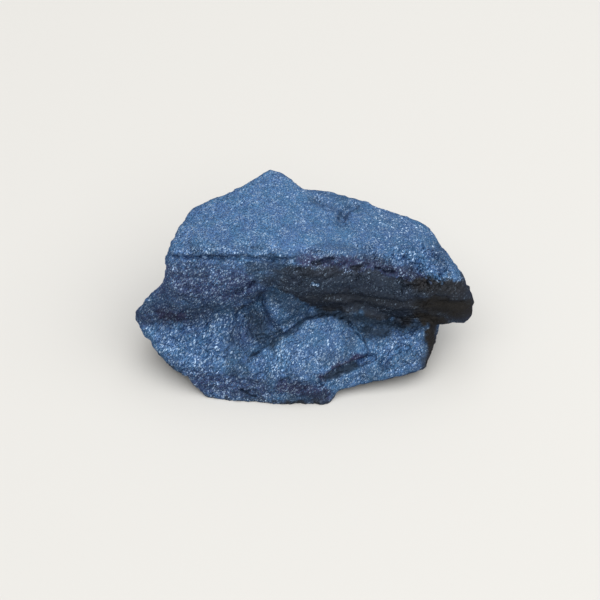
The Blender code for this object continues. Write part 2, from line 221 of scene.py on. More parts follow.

# Purple-brown painted shade along the brow and the lip of the groove, on the foot
# and in some hollows, and on the steep left face, where it also stands for the warm
# surroundings that steep faces mirror: the line, how far it reaches to each side,
# and how strong it is.
PURPLE_SHADE_LINES = {
    "brow": (
        [(0, -4.9, 28.3), (3.2, -5.1, 27.8), (8.6, -5.1, 27.5), (14.1, -4.7, 26.9), (19.5, -5.3, 25.6),
         (23, -6, 24), (25.5, -6, 23)],
        3.0, 0.9,
    ),
    "left_brow": ([(-31, -4.5, 26.5), (-20.6, -5, 27.4), (-10.8, -5.5, 27.4), (-6, -5.6, 27.4)], 1.6, 0.35),
    "left_front": ([(-31, -5, 22), (-14, -6, 22)], 9.0, 0.7),
    "left_hollow": ([(-36, -6.8, 13.2), (-30, -7.2, 14.4), (-23, -7.6, 15.8)], 5.0, 0.65),
    "left_spot": ([(-31.5, -7.2, 13.6), (-27, -7.7, 14)], 3.2, 1.0),
    "foot": ([(-24, -17, 3), (-10, -20, 3)], 5.0, 0.65),
    "hollow": ([(-14, -9, 10), (-8, -7, 12)], 4.5, 0.5),
    "foot_front": ([(-5, -20.2, 4.5), (1.5, -20.3, 3), (4.5, -20.4, 1.6)], 3.4, 0.85),
    "groove": ([(3.9, -18.3, 5.4), (7.7, -16.6, 6.9), (9.9, -15.4, 7.1), (12.1, -14, 6.8)], 2.0, 1.0),
    "lip": ([(6, -17.1, 6.9), (8, -16.1, 7.3), (10, -15, 7.4)], 1.4, 0.9),
    "overhang_rim": ([(36.5, -4.5, 20), (37, -4, 12)], 2.5, 0.5),
}

# Painted deep shade, slate and brown-black where strongest, where the ore lies in
# shade and mirrors dark surroundings. It is weaker on faces that look down, and
# stronger on the wall under the right half of the brow, which the overhang shades.
# There it starts at the left end and lies between two lines, given as X and Z: its
# upper edge follows the brow, and its lower edge the foot of the wall. Parts of it
# are deeper still.
DEEP_SHADE_FACING = (-0.15, -0.6)
UNDER_SHADE = 0.8
UNDER_RAGGED = 0.2
WALL_TOP = [
    (-12, 25.5), (-7, 27.0), (-1, 27.7), (5.5, 27.5), (11, 26.9), (16, 26.0), (20, 25.0), (24, 24.0),
    (28, 23.3), (33, 21.9), (38, 19.9),
]
WALL_FOOT = [
    (-12, 24), (-7.6, 21.0), (-3.3, 18.7), (0.4, 15.4), (3, 13.4), (5, 12.9), (9, 13.1), (12, 12.9),
    (15.5, 11.6), (18, 10.2), (21, 9.3), (26, 9.3), (29, 8.5), (31, 8), (38, 8),
]
WALL_FRONT = -1.0
WALL_ENDS = (-13.5, -4.0)
WALL_END_RAGGED = 3
WALL_EDGE = 0.7
WALL_EDGE_RAGGED = 0.9
WALL_SHADE = 0.84
DEEPER_WALL_SHADE = {
    "wall_low": ([(2, -6.6, 17.8), (14, -6, 17.4), (24, -5.5, 15.5), (30, -5, 14.5)], 4.6, 0.92),
    "overhang_end": ([(28, -5.5, 16), (35, -4.5, 13.5)], 6.0, 1.0),
    "wall_low_right": ([(25, -6, 11.5), (30, -5.4, 9.6)], 3.2, 1.0),
    "wall_high_right": ([(24.5, -6, 22.6), (28, -5.6, 21.5), (34, -4.8, 19.8)], 3.8, 0.96),
}

# Painted deep shade on other shaded faces: the line, its reach, its strength, and
# how little a face has to look up before the painted shade starts on it and is full.
OTHER_DEEP_SHADE = {
    "right_end": ([(27.6, -6, 9), (28, -8.5, 5), (27.3, -11, 4)], 6.0, 1.0, (0.75, 0.5)),
    "foot_rim": (
        [(-24, -16, 0.2), (-14, -19, 0.2), (-5, -20.8, 0.2), (4, -21.2, 0.2), (8, -19.5, 0.2)],
        1.4, 0.9, (1.1, 1.0),
    ),
}

# Painted shade: slate laid where shade falls, in hollows, creases and steps and
# along the lines below, hiding nearly all glitter. First how closed in a place has
# to be, and how strong the painted shade gets there. Then the lines: the line,
# its reach, and how strong the painted shade is.
SHADE_SHELTER = (0.37, 0.80)
SHADE_MOST = 0.8
SHADE_RAGGED = 0.10
PAINTED_SHADE_LINES = {
    # On the left face and its hollow.
    "left_front_top": ([(-25, -5.8, 25.6), (-22, -6, 25)], 2.2, 0.4),
    "left_front": ([(-27.5, -6.5, 19.5), (-24, -6.8, 19)], 2.8, 0.35),
    "left_hollow": ([(-34, -6.5, 15), (-26, -7.5, 15.6), (-18, -7.5, 16.2)], 5.5, 0.35),
    "left_slate": ([(-25, -7.5, 16.2), (-20, -7.6, 16.8)], 3.2, 0.6),
    "left_foot_line": (
        [(-37, -6.8, 12.8), (-33, -7, 12.8), (-28, -7.6, 13.2), (-24.5, -7.9, 14.2)],
        2.6, 0.5,
    ),
    # Along the brow, above it and below, where the painted shade also dims the highlight of its rounding.
    "brow": (
        [(-14, -4, 28.9), (-8, -4.2, 28.8), (3.2, -4.6, 28.4), (8.6, -4.6, 28), (14, -4.4, 27),
         (19.5, -4.8, 26)],
        2.2, 0.35,
    ),
    "brow_left": ([(-24, -1.7, 28.5), (-14.5, -2.5, 29.1), (-9.5, -2.4, 29.2)], 2.7, 0.4),
    "brow_middle": ([(3.5, -2.6, 29.3), (9, -2.5, 29), (13, -2.2, 28.2)], 3.2, 0.35),
    "brow_right": ([(13.2, -3.6, 27.4), (16.4, -4, 26.7), (23, -5.3, 24.8)], 2.6, 0.6),
    "right_rim": ([(29.5, 4, 23.3), (29.5, -1, 23.4)], 3.0, 0.45),
    "under_brow": ([(-12, -6, 27.2), (-4, -6.2, 27.4)], 2.2, 0.7),
    "wall_left_end": ([(-11.6, -6, 27), (-10, -6.7, 25), (-6, -6.3, 22.4)], 3.0, 0.6),
    "wall_top": ([(-1, -6.8, 26.6), (6, -6.8, 26.2)], 2.2, 0.7),
    "wall_foot": (
        [(3.8, -5.8, 13.4), (6.6, -6, 13), (9.9, -7, 12.6), (13.2, -6.6, 12.2), (17.7, -6.2, 10),
         (20, -6, 9.7), (26, -6.2, 9.6)],
        2.8, 1.0,
    ),
    # In the scoops of the top.
    "scoops": ([(2.5, 14.2, 29.2), (6.5, 13.2, 28.8), (10.5, 12.8, 27.6)], 4.0, 0.3),
    "left_scoop": ([(2.4, 14, 29.2), (3.6, 12.8, 29.2)], 1.8, 0.35),
    "right_scoop": ([(10.4, 12.5, 27.5), (8.6, 10.4, 27.7), (8.3, 8.4, 27.9)], 1.9, 0.38),
    "right_scoop_end": ([(8.7, 9.8, 27.8), (8, 8.5, 27.9)], 1.5, 0.6),
    # In the middle hollow, on the spur and down the valley.
    "middle_hollow": ([(-12, -6.8, 12.8), (-10.5, -7.5, 12), (-10, -9, 9.5)], 3.6, 0.8),
    "spur": ([(-7, -6, 19), (-1, -7, 15.5)], 4.0, 0.7),
    "spur_foot": ([(-4, -8.2, 12.2), (-1.5, -7.6, 12.6)], 1.8, 0.5),
    "pocket_end": ([(-7.5, -9.5, 10), (-5.6, -10.4, 10.9)], 2.2, 0.6),
    "ledge_end": ([(-15.8, -10.5, 10.2), (-16.1, -12.1, 9), (-16, -15, 7.5)], 3.0, 0.45),
    "valley": ([(-11, -11, 8.2), (-16, -14, 7)], 3.2, 0.4),
    "valley_slate": ([(-10, -9.5, 9.2), (-8, -10.4, 9.4)], 2.8, 0.7),
    "valley_shadow": ([(-12.4, -14.4, 6.7), (-8.9, -12.6, 7.9), (-6.8, -11.9, 9.8)], 1.6, 0.85),
    # Round the dome and in the groove under its lip.
    "dome": ([(0, -14, 10), (4, -14, 10)], 8.0, 0.12),
    "dome_edge": (
        [(-6.2, -11.9, 10.7), (-4, -10.5, 11.5), (-1.8, -8.9, 12.1), (0.4, -7.3, 12.9), (2.7, -6.1, 13.1)],
        1.7, 0.8,
    ),
    "dome_right": ([(10.4, -9.8, 10.4), (10.3, -12.2, 9.1)], 2.4, 0.45),
    "dome_front": ([(4, -15.6, 8.6), (8.5, -14.8, 8.1)], 2.8, 0.5),
    "dome_foot": ([(-2.5, -18.6, 6.6), (0.5, -18, 7.2)], 3.0, 0.35),
    "dome_low": ([(-2, -19.6, 5.2), (-0.2, -19.6, 5)], 2.0, 0.45),
    "lip": ([(5.4, -17.6, 6.3), (7.7, -16.5, 7.1), (10, -15.1, 7.2)], 1.3, 0.6),
    "lip_groove": ([(4.8, -18.1, 5.3), (6.6, -17.3, 5.6), (9.9, -15.5, 5.8), (11, -14.7, 5.8)], 2.0, 1.0),
    "groove_end": ([(9.6, -15.6, 6.1), (11.6, -14.3, 6.2), (13.6, -13, 6.2)], 1.0, 0.9),
    # On the right shelf.
    "slate_tongue": ([(13.4, -7.6, 10), (15.5, -7.9, 9), (17.6, -7.5, 9.1)], 2.8, 1.0),
    "shelf_front": ([(13.5, -16, 4.4), (17.5, -15, 5)], 2.4, 0.45),
    "shelf_rim": ([(20, -14.2, 5.6), (24.5, -13, 6.2)], 2.2, 0.35),
    "shelf_end": ([(26.3, -10.6, 7.4), (26.6, -9, 7.9)], 1.9, 0.5),
    # On the foot.
    "foot_valley": ([(-16, -16.7, 6.1), (-13.4, -16.8, 6.3)], 2.8, 0.5),
    "foot_right": ([(-9.5, -18.8, 4.6), (-6.5, -19, 4.6)], 2.6, 0.3),
    "foot_left_rim": ([(-15, -19.4, 1.4), (-11, -20.2, 1.2)], 2.2, 0.5),
    "foot_corner": ([(-3, -20.9, 1.2), (1.2, -20.8, 1.6), (4, -20.7, 1.2)], 2.8, 0.6),
}

# How closed in the solid is: how many rays leave each of its corners, in ways
# drawn inside a ball but not right by its middle, how far off the corner they
# start, and how far away another face still shelters it. The fine surface takes
# the mean of the nearest corners, weighted by nearness.
SHELTER_RAYS = 96
SHELTER_BALL = (0.1, 1)
SHELTER_START = 0.3
SHELTER_REACH = 25.0
SHELTER_SEED = 5
NEAR_CORNERS = 4
NEAREST = 0.1

# The material's plates: how wide the common ones and the large ones are, and
# how far they lean out of the face. Then how wide the patches are in which
# their cast changes, and between which values of the noise it does.
PLATE = 0.15
LARGE_PLATE = 0.28
PLATE_LEAN = 0.5
CAST_PATCH = 3.5
CAST_NOISE = (0.38, 0.62)

# A plate's lot is from 0 to 1. To it is added a share of the noise of the patch
# that it lies in, or for a large plate of the coarseness of the place. A plate
# starts to take the painted glint colour at the first of two sums, and takes it
# fully at the other.
BRIGHT_PATCH = 2.4
BRIGHT_SHARE = 0.6
BRIGHT_SUMS = (1.09, 1.35)
LARGE_SHARE = 0.07
LARGE_SUMS = (1.0, 1.04)

# What the painted shade does to a plate. The purple shade takes it by its lot in
# the same way, and dims its brightness by a part. The slate shade hides nearly all
# of it. The deep shade lets the brightest show where it is weak, and is brown from
# a strength on.
PURPLE_SHARE = 0.6
PURPLE_SUMS = (0.45, 0.8)
PURPLE_DIMS = 0.45
SHADE_HIDES = 0.92
DEEP_SHADE_BARE_SUMS = (1.22, 1.34)
DEEP_SHADE_BARE_MOST = 3.0
DEEP_SHADE_BROWN = (0.75, 1.0)

# The gloss of the common plates and of the bright ones, and the veil of dust
# and handling over them all.
METALLIC = 0.8
ROUGHNESS = (0.6, 0.5)
VEIL = 0.15
VEIL_ROUGHNESS = 0.6

# The camera looks along +Y and 45 degrees down.
ELEVATION = 45.0
AIM = Vector((-1.1, -2.6, 13.8)) * MM
DISTANCE = 0.45
IMAGE_SIDE = 600
PIXELS_PER_MM = 4.507
SENSOR = 36.0

# The light is one large soft box overhead, a little to the front and the right,
# and a pale room. The sides of the box and the floor are in metres.
SOFTBOX_PLACE = Vector((0.14, -0.09, 0.75))
SOFTBOX_SIDE = 1.6
SOFTBOX_WATTS = 13.8
ROOM_STRENGTH = 0.42
FLOOR_SIDE = 6.0


def linear(code):
    """The linear value of an sRGB hex colour."""
    shares = [int(code[i:i + 2], 16) / 255 for i in (1, 3, 5)]
    return [s / 12.92 if s <= 0.04045 else ((s + 0.055) / 1.055) ** 2.4 for s in shares] + [1.0]


def smooth_step(low, high, value):
    """0 at low and beyond, 1 at high and beyond, and a soft rise between."""
    share = np.clip((value - low) / (high - low), 0.0, 1.0)
    return share * share * (3 - 2 * share)


def take_modifier(thing, kind, **settings):
    """Gives a piece one modifier and keeps its result as the piece's mesh."""
    modifier = thing.modifiers.new(kind, kind)
    for name, value in settings.items():
        setattr(modifier, name, value)
    graph = bpy.context.evaluated_depsgraph_get()
    result = bpy.data.meshes.new_from_object(thing.evaluated_get(graph))
    thing.modifiers.clear()
    thing.data = result


def vertex_values(mesh, name):
    """Places or normals of a mesh as rows of three numbers."""
    values = np.empty(len(mesh.vertices) * 3)
    mesh.vertices.foreach_get(name, values)
    return values.reshape(-1, 3)


def solid_copy():
    """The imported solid's faces, joined along their edges, as a new piece."""
    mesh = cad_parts[NODE].data.copy()
    mesh.materials.clear()
    faces = bmesh.new()
    faces.from_mesh(mesh)
    bmesh.ops.remove_doubles(faces, verts=faces.verts, dist=0.001 * MM)
    faces.to_mesh(mesh)
    faces.free()
    piece = bpy.data.objects.new("broken_surface", mesh)
    bpy.context.scene.collection.objects.link(piece)
    return piece


def crisp_edges(piece):
    """A search tree of places along the solid's sharp edges."""
    faces = bmesh.new()
    faces.from_mesh(piece.data)
    marks = []
    for edge in faces.edges:
        if edge.calc_face_angle_signed() > CRISP_ANGLE:
            start, end = (corner.co for corner in edge.verts)
            steps = math.ceil(edge.calc_length() / (GRID * MM))
            marks += [start.lerp(end, step / steps) for step in range(steps + 1)]
    faces.free()
    tree = KDTree(len(marks))
    for index, mark in enumerate(marks):
        tree.insert(mark, index)
    tree.balance()
    return tree


def fine_grid(piece, edges):
    """Remakes the piece's surface on the fine grid and softens it off its edges."""
    turn = Euler(GRID_TURN).to_matrix().to_4x4()
    piece.data.transform(turn)
    take_modifier(piece, "REMESH", mode="VOXEL", voxel_size=GRID * MM)
    piece.data.transform(turn.inverted())
    away = clear_of(edges, vertex_values(piece.data, "co"))
    group = piece.vertex_groups.new(name="off_the_edges")
    for index, share in enumerate(away):
        group.add([index], CRISP_SOFTENING + (1 - CRISP_SOFTENING) * share, "REPLACE")
    take_modifier(piece, "SMOOTH", factor=SOFTENING, iterations=SOFTENING_ROUNDS, vertex_group=group.name)
    piece.vertex_groups.clear()


def clear_of(edges, metres):
    """0 on a crisp edge of the solid and 1 well off it."""
    gaps = np.array([edges.find(place)[2] for place in metres])
    return smooth_step(*CRISP_REACH, gaps / MM)


def distance_to_line(places, line):
    """How far each place is from a line through several points."""
    nearest = np.full(len(places), np.inf)
    for start, end in zip(np.array(line[:-1]), np.array(line[1:])):
        along = end - start
        share = np.clip((places - start) @ along / (along @ along), 0.0, 1.0)
        gap = np.linalg.norm(places - start - share[:, None] * along, axis=1)
        nearest = np.minimum(nearest, gap)
    return nearest


def straying(places):
    """Which way each place strays, and how far, at most about 1."""
    noise.seed_set(STRAY_SEED)
    return np.array([noise.noise_vector(Vector(place) / STRAY_TURN) for place in places])


def near_line(places, line, reach, drift):
    """1 on a line and 0 beyond its reach, with a ragged edge."""
    return 1 - smooth_step(CORE * reach, reach, distance_to_line(places, line) - EDGE_RAGGED * drift)


def strongest_mark(places, table, drift):
    """The strongest mark that the lines of a table leave at each place."""
    marks = [strength * near_line(places, line, reach, drift) for line, reach, strength in table.values()]
    return np.max(marks, axis=0)


def facet_height(place, size):
    """Tilted flat facets about as wide as size."""
    seed = noise.voronoi(place / size)[1][0]
    lean = noise.cell_vector(seed * SEED_SPREAD) - HALF
    return (place / size - seed).dot(lean)


def ledge_height(place, thick, run, step):
    """Flat bands, one a layer, that stand out by different amounts."""
    wander = noise.noise(place / LAYER_WANDER) * LAYER_WANDER_RISE
    level = (place.z + LAYER_DIP * place.x) / thick + wander
    layer = math.floor(level)
    here, above = (
        noise.noise(Vector((place.x / run, place.y / run, number * LEDGE_SPREAD)))
        for number in (layer, layer + 1)
    )
    share = min(max((level - layer - 1 + step) / step, 0.0), 1.0)
    return here + (above - here) * share * share * (3 - 2 * share)


def broken_heights(place, facing_up):
    """How far facets, lumps and ledges stand out at a place."""
    facets = sum(rise * facet_height(place, size) for size, rise in FACETS)
    along_grain = (place.x + LUMP_CLIMB * place.z, place.y, place.z - LUMP_CLIMB * place.x)
    drawn_out = Vector([along / width for along, width in zip(along_grain, LUMP)])
    lumps = LUMP_RISE * (noise.ridged_multi_fractal(drawn_out, *LUMP_CRESTS) - LUMP_MIDDLE)
    ledges = sum(rise * ledge_height(place, thick, run, step) for thick, rise, run, step in LEDGES)
    return facets, lumps, ledges * (1 - facing_up * facing_up)


def relief_shares(places, normals):
    """Shares of facets, lumps and ledges at each place, and coarseness."""
    shares = np.tile(SHARES, (len(places), 1))
    top = smooth_step(*TOP_FACING, normals[:, 2]) * smooth_step(*TOP_LEVEL, places[:, 2])
    for name, (middle, reach, patch_shares) in PATCHES.items():
        beyond = smooth_step(PATCH_CORE * reach, reach, np.linalg.norm(places - middle, axis=1))
        shares += (np.array(patch_shares) - shares) * (1 - beyond)[:, None]
        if name in PATCHES_ON_TOP:
            top *= beyond
    return shares + (np.array(TOP_SHARES) - shares) * top[:, None]


def pit_depth(places):
    """How deep the pits go at each place."""
    chance = random.Random(PIT_SEED)
    tree = KDTree(len(places))
    for index, place in enumerate(places):
        tree.insert(place, index)
    tree.balance()
    depth = np.zeros(len(places))
    for _ in range(PITS):
        middle = places[chance.randrange(len(places))]
        reach = PIT_REACH[0] + (PIT_REACH[1] - PIT_REACH[0]) * chance.random() ** 2
        for _, index, gap in tree.find_range(middle, reach):
            depth[index] += PIT_DEPTH * reach * (1 - (gap / reach) ** 2)
    return depth


def break_surface(piece, edges):
    """Raises the relief, opens the cracks and stands the flakes up."""
    mesh = piece.data
    places = vertex_values(mesh, "co") / MM
    normals = vertex_values(mesh, "normal")
    shares = relief_shares(places, normals)
    heights = np.array([
        broken_heights(Vector(place), normal[2])
        for place, normal in zip(places, normals)
    ])
    rise = (heights * shares[:, :3]).sum(axis=1) - pit_depth(places) * np.minimum(shares[:, 1], 1.0)
    rise *= CRISP_RELIEF + (1 - CRISP_RELIEF) * clear_of(edges, places * MM)
    stray = straying(places)
    for line, width, depth, side in CRACKS.values():
        rise -= depth * (1 - smooth_step(0.0, width, distance_to_line(places + side * stray, line)))
    on_highlight_ridge = distance_to_line(places, HIGHLIGHT_RIDGE) < HIGHLIGHT_REACH
    rise += RIDGE_RISE * on_highlight_ridge
    places = places + normals * rise[:, None]
    flakes = np.array([noise.cell_vector(Vector(place) / FLAKE_CELL)[0] for place in places])
    places += normals * ((flakes - 0.5) * 2 * FLAKE_RISE)[:, None]
    places = np.clip(places * MM, cad_low, cad_high)
    mesh.vertices.foreach_set("co", places.ravel())
    mesh.update()
    # On the ridge the coarseness is set so high that each large plate takes the glint colour: a painted
    # highlight.
    add_values(mesh, "coarse", np.where(on_highlight_ridge, HIGHLIGHT_BRIGHT, shares[:, 3]))


def shelter_of(solid):
    """How closed in the solid is at each corner, from 0 to 1, and a tree of the corners."""
    chance = random.Random(SHELTER_SEED)
    rays = []
    while len(rays) < SHELTER_RAYS:
        ray = Vector([chance.uniform(-1, 1) for _ in range(3)])
        if SHELTER_BALL[0] < ray.length < SHELTER_BALL[1]:
            rays.append(ray.normalized())
    mesh = solid.data
    blocks = BVHTree.FromPolygons(
        [corner.co for corner in mesh.vertices], [face.vertices for face in mesh.polygons]
    )
    corners = KDTree(len(mesh.vertices))
    shelter = []
    for index, corner in enumerate(mesh.vertices):
        corners.insert(corner.co, index)
        start = corner.co + corner.normal * SHELTER_START * MM
        ways = [(corner.normal + ray).normalized() for ray in rays]
        met = [blocks.ray_cast(start, way, SHELTER_REACH * MM)[0] for way in ways]
        shelter.append(sum(1 for hit in met if hit is not None) / len(rays))
    corners.balance()
    return shelter, corners


def add_values(mesh, name, values):
    """Keeps one number a corner for the material to read."""
    attribute = mesh.attributes.new(name, "FLOAT", "POINT")
    attribute.data.foreach_set("value", values.astype(np.float32))


def broad_values(metres, corners, shelter, facing_up):
    """How closed in the solid is, and how far it faces up, near each place."""
    means = []
    for place in metres:
        near = corners.find_n(place, NEAR_CORNERS)
        weights = np.array([1 / (gap + NEAREST * MM) for _, _, gap in near])
        weights /= weights.sum()
        means.append([
            sum(w * values[i] for w, (_, i, _) in zip(weights, near))
            for values in (shelter, facing_up)
        ])
    return np.array(means).T


def wall_shade(places, drift):
    """How deep the painted shade is on the wall under the right half of the brow."""
    across, height = places[:, 0], places[:, 2] + WALL_EDGE_RAGGED * drift
    below = smooth_step(0.0, WALL_EDGE, np.interp(across, *zip(*WALL_TOP)) - height)
    above = smooth_step(0.0, WALL_EDGE, height - np.interp(across, *zip(*WALL_FOOT)))
    right = smooth_step(*WALL_ENDS, across + WALL_END_RAGGED * drift)
    deep_shade = np.full(len(places), WALL_SHADE)
    for line, reach, strength in DEEPER_WALL_SHADE.values():
        deep_shade += (strength - deep_shade).clip(0) * near_line(places, line, reach, drift)
    return deep_shade * (below * above * right * (places[:, 1] < WALL_FRONT))


def paint_shade(piece, corners, shelter, facing_up):
    """Marks where the painted shade lies: deep, slate and purple."""
    mesh = piece.data
    metres = vertex_values(mesh, "co")
    places = metres / MM
    closed, facing = broad_values(metres, corners, shelter, facing_up)
    drift = np.array([noise.fractal(Vector(place) / DRIFT_WIDTH, *DRIFT_DETAIL) for place in places])
    # Painted deep shade on faces that look down, where shade falls.
    deep_shade = UNDER_SHADE * smooth_step(*DEEP_SHADE_FACING, facing + UNDER_RAGGED * drift)
    deep_shade = np.maximum(deep_shade, wall_shade(places, drift))
    for line, reach, strength, slope in OTHER_DEEP_SHADE.values():
        steep = smooth_step(*slope, facing)
        deep_shade = np.maximum(deep_shade, strength * steep * near_line(places, line, reach, drift))
    # The painted deep shade keeps off the painted highlight on the ridge.
    deep_shade *= distance_to_line(places, HIGHLIGHT_RIDGE) > HIGHLIGHT_CLEAR
    # Painted slate shade where the solid is closed in and shade falls.
    painted_shade = SHADE_MOST * smooth_step(*SHADE_SHELTER, closed + SHADE_RAGGED * drift)
    add_values(mesh, "deep_shade", deep_shade)
    add_values(mesh, "painted_shade", np.maximum(painted_shade, strongest_mark(places, PAINTED_SHADE_LINES, drift)))
    # Painted purple shade along the brow and groove, on steep faces, the foot and in hollows.
    add_values(mesh, "purple_shade", strongest_mark(places, PURPLE_SHADE_LINES, drift))


def node(tree, kind, inputs=None, **settings):
    """One node of a material, its settings, and its inputs by value or link."""
    made = tree.nodes.new(kind)
    for name, value in settings.items():
        setattr(made, name, value)
    for name, value in (inputs or {}).items():
        if isinstance(value, bpy.types.NodeSocket):
            tree.links.new(value, made.inputs[name])
        else:
            made.inputs[name].default_value = value
    return made


def specular_hematite_broken():
    """Specular hematite, freshly broken: blue-grey plates, each turned its own way,
    a few of them in a pale colour that is a painted glint. The eye gets glitter
    one or two pixels across, and painted shade: slate and brown-black on shaded
    faces, slate in the hollows and creases, and purple-brown along some edges,
    on steep faces and in some hollows."""
    material = bpy.data.materials.new("specular_hematite_broken")
    material.use_nodes = True
    tree = material.node_tree
    shader = tree.nodes["Principled BSDF"]
    surface = node(tree, "ShaderNodeTexCoord").outputs["Object"]
    place = node(tree, "ShaderNodeVectorMath", {0: surface, "Scale": 1 / MM}, operation="SCALE").outputs[0]

    # The common plates, drawn out along the flakes. Each has its own tone, from
    # dark to light. The blue is now a little nearer violet and now nearer cyan,
    # from patch to patch.
    along = node(
        tree, "ShaderNodeMapping",
        {
            "Vector": place,
            "Rotation": FLAKE_WAY.to_track_quat("X", "Z").to_euler(),
            "Scale": (FLAKE_LENGTH, 1.0, 1.0),
        },
        vector_type="TEXTURE",
    )
    plates = node(tree, "ShaderNodeTexVoronoi", {"Vector": along.outputs[0], "Scale": 1 / PLATE})
    lot = node(tree, "ShaderNodeSeparateColor", {0: plates.outputs["Color"]})
    cast = node(
        tree, "ShaderNodeTexNoise",
        {"Vector": place, "Scale": 1 / CAST_PATCH, "Detail": 2.0, "Roughness": 0.6},
    )
    cast_share = node(
        tree, "ShaderNodeMapRange",
        {"Value": cast.outputs["Fac"], "From Min": CAST_NOISE[0], "From Max": CAST_NOISE[1]},
    )
    dark_tone = node(
        tree, "ShaderNodeMix",
        {"Factor": cast_share.outputs[0], 6: linear("#2A466E"), 7: linear("#29486D")},
        data_type="RGBA",
    )
    light_tone = node(
        tree, "ShaderNodeMix",
        {"Factor": cast_share.outputs[0], 6: linear("#5D82B2"), 7: linear("#5985B0")},
        data_type="RGBA",
    )
    tone = node(
        tree, "ShaderNodeMix",
        {"Factor": lot.outputs[0], 6: dark_tone.outputs[2], 7: light_tone.outputs[2]},
        data_type="RGBA",
    )

    # A plate takes a pale painted glint colour where its own lot and the patch that
    # it lies in add up to enough, so bright ones come in clusters. Where the ore is
    # coarse, some of the large plates get it too.
    patchy = node(
        tree, "ShaderNodeTexNoise",
        {"Vector": place, "Scale": 1 / BRIGHT_PATCH, "Detail": 3.0, "Roughness": 0.6},
    )
    chance = node(
        tree, "ShaderNodeMath",
        {0: patchy.outputs["Fac"], 1: BRIGHT_SHARE, 2: lot.outputs[1]},
        operation="MULTIPLY_ADD",
    )
    glint = node(
        tree, "ShaderNodeMapRange",
        {"Value": chance.outputs[0], "From Min": BRIGHT_SUMS[0], "From Max": BRIGHT_SUMS[1]},
    )
    large = node(tree, "ShaderNodeTexVoronoi", {"Vector": along.outputs[0], "Scale": 1 / LARGE_PLATE})
    large_lot = node(tree, "ShaderNodeSeparateColor", {0: large.outputs["Color"]})
    coarse_mark = node(tree, "ShaderNodeAttribute", attribute_name="coarse")
    large_chance = node(
        tree, "ShaderNodeMath",
        {0: coarse_mark.outputs["Fac"], 1: LARGE_SHARE, 2: large_lot.outputs[1]},
        operation="MULTIPLY_ADD",
    )
    large_glint = node(
        tree, "ShaderNodeMapRange",
        {"Value": large_chance.outputs[0], "From Min": LARGE_SUMS[0], "From Max": LARGE_SUMS[1]},
    )
    any_glint = node(
        tree, "ShaderNodeMath",
        {0: glint.outputs[0], 1: large_glint.outputs[0]},
        operation="MAXIMUM",
    )

    # The purple-brown painted shade takes most plates where it is strong and few
    # where it is weak. It dims the bright ones only in part.
    purple_shade_mark = node(tree, "ShaderNodeAttribute", attribute_name="purple_shade")
    purple_plate_share = node(
        tree, "ShaderNodeMath",
        {0: purple_shade_mark.outputs["Fac"], 1: PURPLE_SHARE, 2: lot.outputs[2]},
        operation="MULTIPLY_ADD",
    )
    purple_plate = node(
        tree, "ShaderNodeMapRange",
        {"Value": purple_plate_share.outputs[0], "From Min": PURPLE_SUMS[0], "From Max": PURPLE_SUMS[1]},
    )
    purple_shade = node(
        tree, "ShaderNodeMath",
        {0: purple_shade_mark.outputs["Fac"], 1: purple_plate.outputs[0]},
        operation="MULTIPLY",
    )
    purple_shaded = node(
        tree, "ShaderNodeMix",
        {"Factor": purple_shade.outputs[0], 6: tone.outputs[2], 7: linear("#363052")},
        data_type="RGBA",
    )
    unshaded = node(
        tree, "ShaderNodeMath",
        {0: purple_shade.outputs[0], 1: -PURPLE_DIMS, 2: 1.0},
        operation="MULTIPLY_ADD",
    )
    glint_left = node(
        tree, "ShaderNodeMath",
        {0: any_glint.outputs[0], 1: unshaded.outputs[0]},
        operation="MULTIPLY",
    )
    # The pale colour of the bright plates is a painted glint, laid over the real glitter of their lean.
    bright = node(
        tree, "ShaderNodeMix",
        {"Factor": glint_left.outputs[0], 6: purple_shaded.outputs[2], 7: linear("#B6D1EE")},
        data_type="RGBA",
    )

    # Painted shade in the hollows and creases and along its lines: slate that hides nearly all glitter.
    painted_shade_mark = node(tree, "ShaderNodeAttribute", attribute_name="painted_shade")
    painted_shade_share = node(
        tree, "ShaderNodeMath",
        {0: painted_shade_mark.outputs["Fac"], 1: SHADE_HIDES},
        operation="MULTIPLY",
    )
    shaded = node(
        tree, "ShaderNodeMix",
        {"Factor": painted_shade_share.outputs[0], 6: bright.outputs[2], 7: linear("#263444")},
        data_type="RGBA",
    )

    # Painted deep shade: slate where it is weak and brown-black where it is strong,
    # and bright plates show through where it is weak.
    deep_shade_mark = node(tree, "ShaderNodeAttribute", attribute_name="deep_shade")
    thin = node(tree, "ShaderNodeMath", {0: 1.0, 1: deep_shade_mark.outputs["Fac"]}, operation="SUBTRACT")
    bare = node(
        tree, "ShaderNodeMapRange",
        {
            "Value": chance.outputs[0],
            "From Min": DEEP_SHADE_BARE_SUMS[0], "From Max": DEEP_SHADE_BARE_SUMS[1],
            "To Max": DEEP_SHADE_BARE_MOST,
        },
    )
    bared = node(tree, "ShaderNodeMath", {0: thin.outputs[0], 1: bare.outputs[0]}, operation="MULTIPLY")
    deep_shade_left = node(
        tree, "ShaderNodeMath",
        {0: deep_shade_mark.outputs["Fac"], 1: bared.outputs[0]},
        operation="SUBTRACT", use_clamp=True,
    )
    thick = node(
        tree, "ShaderNodeMapRange",
        {"Value": deep_shade_mark.outputs["Fac"], "From Min": DEEP_SHADE_BROWN[0], "From Max": DEEP_SHADE_BROWN[1]},
    )
    deep_shade_tone = node(
        tree, "ShaderNodeMix",
        {"Factor": thick.outputs[0], 6: linear("#343942"), 7: linear("#2D2B28")},
        data_type="RGBA",
    )
    deep_shaded = node(
        tree, "ShaderNodeMix",
        {"Factor": deep_shade_left.outputs[0], 6: shaded.outputs[2], 7: deep_shade_tone.outputs[2]},
        data_type="RGBA",
    )
    tree.links.new(deep_shaded.outputs[2], shader.inputs["Base Color"])
    shader.inputs["Metallic"].default_value = METALLIC
    shader.inputs["Specular Tint"].default_value = linear("#5A80B8")

